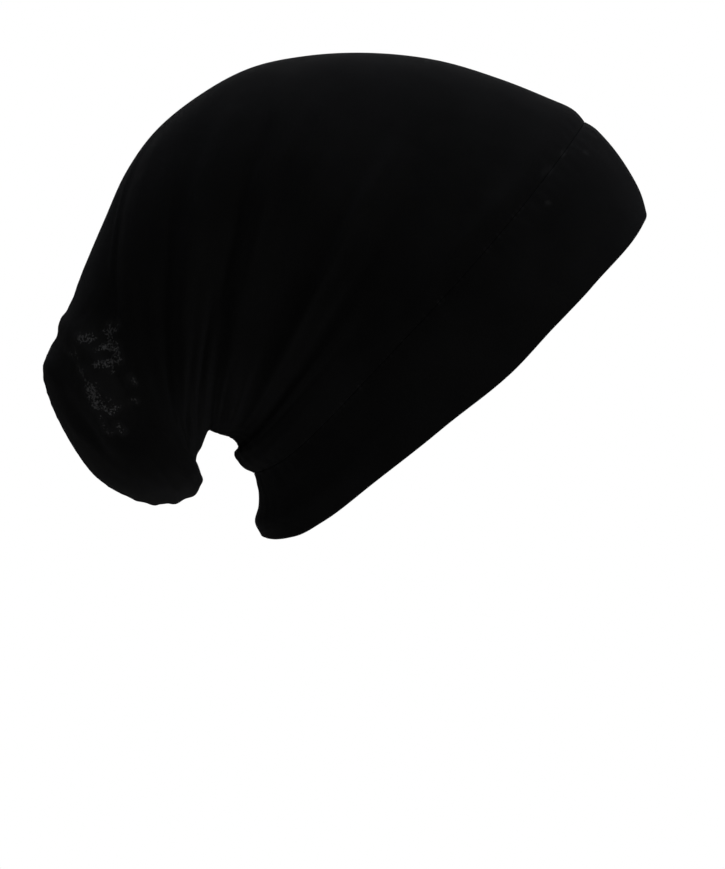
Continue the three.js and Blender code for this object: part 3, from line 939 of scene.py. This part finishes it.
# How the cloth turns in where it is sewn: how deep and how far onward each row of the turned edge lies
HEM_TURN = ((0.9, 0.0), (0.35, 0.03), (0.08, 0.16), (0.0, 0.55))

# The sewn edge inside the cap, from the seam back: how far onward and how deep below the crown's inside
OVERLOCK_PROFILE = (
    (-1.2, -0.5), (-1.5, 0.4), (-1.3, 1.3), (-0.2, 1.9), (1.4, 1.9), (3.2, 1.6),
    (4.6, 1.3), (5.4, 0.7), (5.5, 0.1), (4.8, -0.3), (2.4, -0.4), (0.6, -0.6),
)
# The sewn edge inside the tail: how far to the side of the middle plane and how deep below the inside
HALF_CLOSING_PROFILE = ((0.7, -0.4), (0.9, 1.6), (0.8, 3.4), (0.5, 4.4))
CLOSING_PROFILE = (*HALF_CLOSING_PROFILE, *((-side, depth) for side, depth in HALF_CLOSING_PROFILE[::-1]))


class CAP_OT_crown(bpy.types.Operator):
    """Build the crown and its tail: one layer of jersey from the band's seam to the closed end"""

    bl_idname = "cap.crown"
    bl_label = "Crown and tail"

    def execute(self, context):
        cloth = context.scene.cap_cloth
        rings = [Ring(BAND_SEAM, depth, SEAM_GAP / 2 + shift) for depth, shift in HEM_TURN]
        rings += [Ring(at, 0, 0) for at in row_numbers(BAND_SEAM, TAIL_END, CROWN_DETAIL)[1:-1]]
        laid = cloth_rings(rings, CROWN_COLUMNS, cloth.fold_strength)
        laid.append(drawn_to(smooth_point(loop_at(TAIL_END), 0), laid[-1]))
        material = jersey_material("crown_jersey", cloth, CROWN_ROUGHNESS)
        crown = piece_from(cloth_mesh(laid, closed=False), "crown_cloth", material)
        wall = crown.modifiers.new("wall", "SOLIDIFY")
        wall.thickness = cloth.crown_wall
        wall.offset = -1
        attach(crown, "root")
        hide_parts(CROWN_NODE)
        return {"FINISHED"}


class CAP_OT_band(bpy.types.Operator):
    """Build the band round the face and the nape: the jersey folded double, with a round folded edge"""

    bl_idname = "cap.band"
    bl_label = "Face band"

    def execute(self, context):
        cloth = context.scene.cap_cloth
        wall = cloth.band_wall / MM
        rows = row_numbers(0, BAND_SEAM, BAND_DETAIL)
        rings = [Ring(BAND_SEAM, depth, -SEAM_GAP / 2 - shift) for depth, shift in HEM_TURN]
        rings += [Ring(at, 0, 0) for at in reversed(rows[:-1])]
        for step in range(1, BAND_EDGE_STEPS):
            turn = math.pi * step / BAND_EDGE_STEPS
            rings.append(Ring(0.0, wall * (1 - math.cos(turn)) / 2, -BAND_EDGE_SWELL * math.sin(turn)))
        rings += [Ring(at, wall, 0) for at in rows[:-1:2]]
        rings.append(Ring(BAND_SEAM, wall, -SEAM_GAP / 2))
        laid = cloth_rings(rings, BAND_COLUMNS, cloth.fold_strength)
        material = jersey_material("band_jersey", cloth, BAND_ROUGHNESS)
        band = piece_from(cloth_mesh(laid, closed=True), "band_cloth", material)
        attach(band, "root")
        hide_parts(BAND_NODE)
        return {"FINISHED"}


class CAP_OT_seams(bpy.types.Operator):
    """Build the overlocked edges inside the cap, along the band's seam and the seam that closes the tail"""

    bl_idname = "cap.seams"
    bl_label = "Sewn edges inside"

    def execute(self, context):
        cloth = context.scene.cap_cloth
        wall = cloth.crown_wall / MM
        material = thread_material("overlock_thread", cloth)

        rings = [Ring(BAND_SEAM, wall + depth, shift) for shift, depth in OVERLOCK_PROFILE]
        laid = cloth_rings(rings, SEAM_COLUMNS, cloth.fold_strength)
        edge = piece_from(cloth_mesh(laid, closed=True), "band_seam_edge", material)
        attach(edge, "root")

        path = [(at, 0.0) for at in row_numbers(CLOSING_SEAM_TOP, TAIL_END, 2)[:-1]]
        path += [(at, math.pi) for at in reversed(row_numbers(CLOSING_SEAM_LOW, TAIL_END, 2)[:-1])]
        rings = []
        along = 0.0
        before = None
        for at, angle in path:
            point, outward = ClothRow(at).base(angle)[:2]
            sunk = CLOSING_SEAM_DIP * closing_seam_share(at, way_round(angle)) + wall
            if before:
                along += (point - before).length
            before = point
            ring = []
            for side, depth in (*CLOSING_PROFILE, CLOSING_PROFILE[0]):
                place = point - outward * (sunk + depth) + Vector((0, side, 0))
                ring.append(Stitch(place, (along, depth), 0.0, 0.0))
            rings.append(ring)
        ends = []
        for ring in (rings[0], rings[-1]):
            middle = sum((stitch.place for stitch in ring[:-1]), Vector()) / len(CLOSING_PROFILE)
            ends.append(drawn_to(middle, ring))
        rings = [ends[0], *rings, ends[1]]
        edge = piece_from(cloth_mesh(rings, closed=False), "tail_seam_edge", material)
        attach(edge, "root")
        return {"FINISHED"}


# Soft lights, each with the name of the setting that holds its power
Light = namedtuple("Light", "name place size colour power")
LIGHTS = [Light(*row) for row in (
    ("top_light", (0.25, 0.1, 1.35), 1.1, (0.88, 0.92, 1), "top_power"),
    ("front_light", (0.9, -1.4, 0.1), 1, (1, 1, 1), "front_power"),
    ("back_light", (0, 1.5, 0.55), 1.1, (1, 1, 1), "back_power"),
    ("low_light", (1.3, -0.9, -0.6), 0.9, (1, 1, 1), "low_power"),
)]


class CAP_OT_studio(bpy.types.Operator):
    """Build the pale floor, the soft lights and the camera"""

    bl_idname = "cap.studio"
    bl_label = "Studio and camera"

    def execute(self, context):
        scene = context.scene
        studio = scene.cap_studio
        low, high = CAD_BOX
        aim = Vector([(a + b) / 2 for a, b in zip(low, high)])
        floor_z = low[2] - studio.floor_drop
        middle = Vector((aim.x, 0, floor_z))

        bm = bmesh.new()
        bmesh.ops.create_circle(bm, cap_ends=True, segments=128, radius=studio.floor_radius)
        bmesh.ops.translate(bm, verts=bm.verts, vec=middle)
        floor = piece_from(bm, "studio_floor", floor_material(studio, middle))

        for light in LIGHTS:
            data = bpy.data.lights.new(light.name, "AREA")
            data.shape = "DISK"
            data.size = light.size
            data.color = light.colour
            data.energy = getattr(studio, light.power)
            lamp = bpy.data.objects.new(light.name, data)
            lamp.location = light.place
            lamp.rotation_euler = (aim - Vector(light.place)).to_track_quat("-Z", "Y").to_euler()
            lamp.visible_camera = False
            scene.collection.objects.link(lamp)

        world = bpy.data.worlds.new("white_studio")
        world.use_nodes = True
        nodes = Nodes(world.node_tree)
        seen = nodes.add("ShaderNodeBackground", Color=(1, 1, 1, 1), Strength=1.0).outputs[0]
        lit = nodes.add("ShaderNodeBackground", Color=(1, 1, 1, 1), Strength=studio.sky).outputs[0]
        straight = nodes.add("ShaderNodeLightPath").outputs["Is Camera Ray"]
        mix = nodes.add("ShaderNodeMixShader", i0=straight, i1=lit, i2=seen)
        nodes.add("ShaderNodeOutputWorld", Surface=mix.outputs["Shader"])
        scene.world = world
        scene.view_settings.view_transform = "Standard"

        data = bpy.data.cameras.new("photo_camera")
        data.sensor_width = 36
        data.lens = data.sensor_width * studio.camera_distance / studio.view_height
        data.clip_end = 50
        camera = bpy.data.objects.new("photo_camera", data)
        camera.location = (studio.view_x, -studio.camera_distance, studio.view_z)
        camera.rotation_euler = (math.pi / 2, 0, 0)
        scene.collection.objects.link(camera)
        scene.camera = camera
        return {"FINISHED"}


OPERATORS = (CAP_OT_studio, CAP_OT_crown, CAP_OT_band, CAP_OT_seams)


class CAP_PT_cap(bpy.types.Panel):
    """The cap's pieces and settings in the sidebar of the 3D view"""

    bl_idname = "CAP_PT_cap"
    bl_label = "Cotton jersey cap"
    bl_space_type = "VIEW_3D"
    bl_region_type = "UI"
    bl_category = "Cap"

    def draw(self, context):
        layout = self.layout
        for operator in OPERATORS:
            layout.operator(operator.bl_idname)
        for title, settings in (("Cloth", context.scene.cap_cloth), ("Studio", context.scene.cap_studio)):
            box = layout.box()
            box.label(text=title)
            for name in settings.bl_rna.properties.keys():
                if name not in ("rna_type", "name"):
                    box.prop(settings, name)


CLASSES = (CapCloth, CapStudio, *OPERATORS, CAP_PT_cap)


def register():
    for cls in CLASSES:
        bpy.utils.register_class(cls)
    bpy.types.Scene.cap_cloth = bpy.props.PointerProperty(type=CapCloth)
    bpy.types.Scene.cap_studio = bpy.props.PointerProperty(type=CapStudio)


def unregister():
    del bpy.types.Scene.cap_studio
    del bpy.types.Scene.cap_cloth
    for cls in reversed(CLASSES):
        bpy.utils.unregister_class(cls)


def main():
    register()
    bpy.ops.cap.studio()
    bpy.ops.cap.crown()
    bpy.ops.cap.band()
    bpy.ops.cap.seams()
    bpy.context.view_layer.update()


if __name__ == "__main__":
    main()
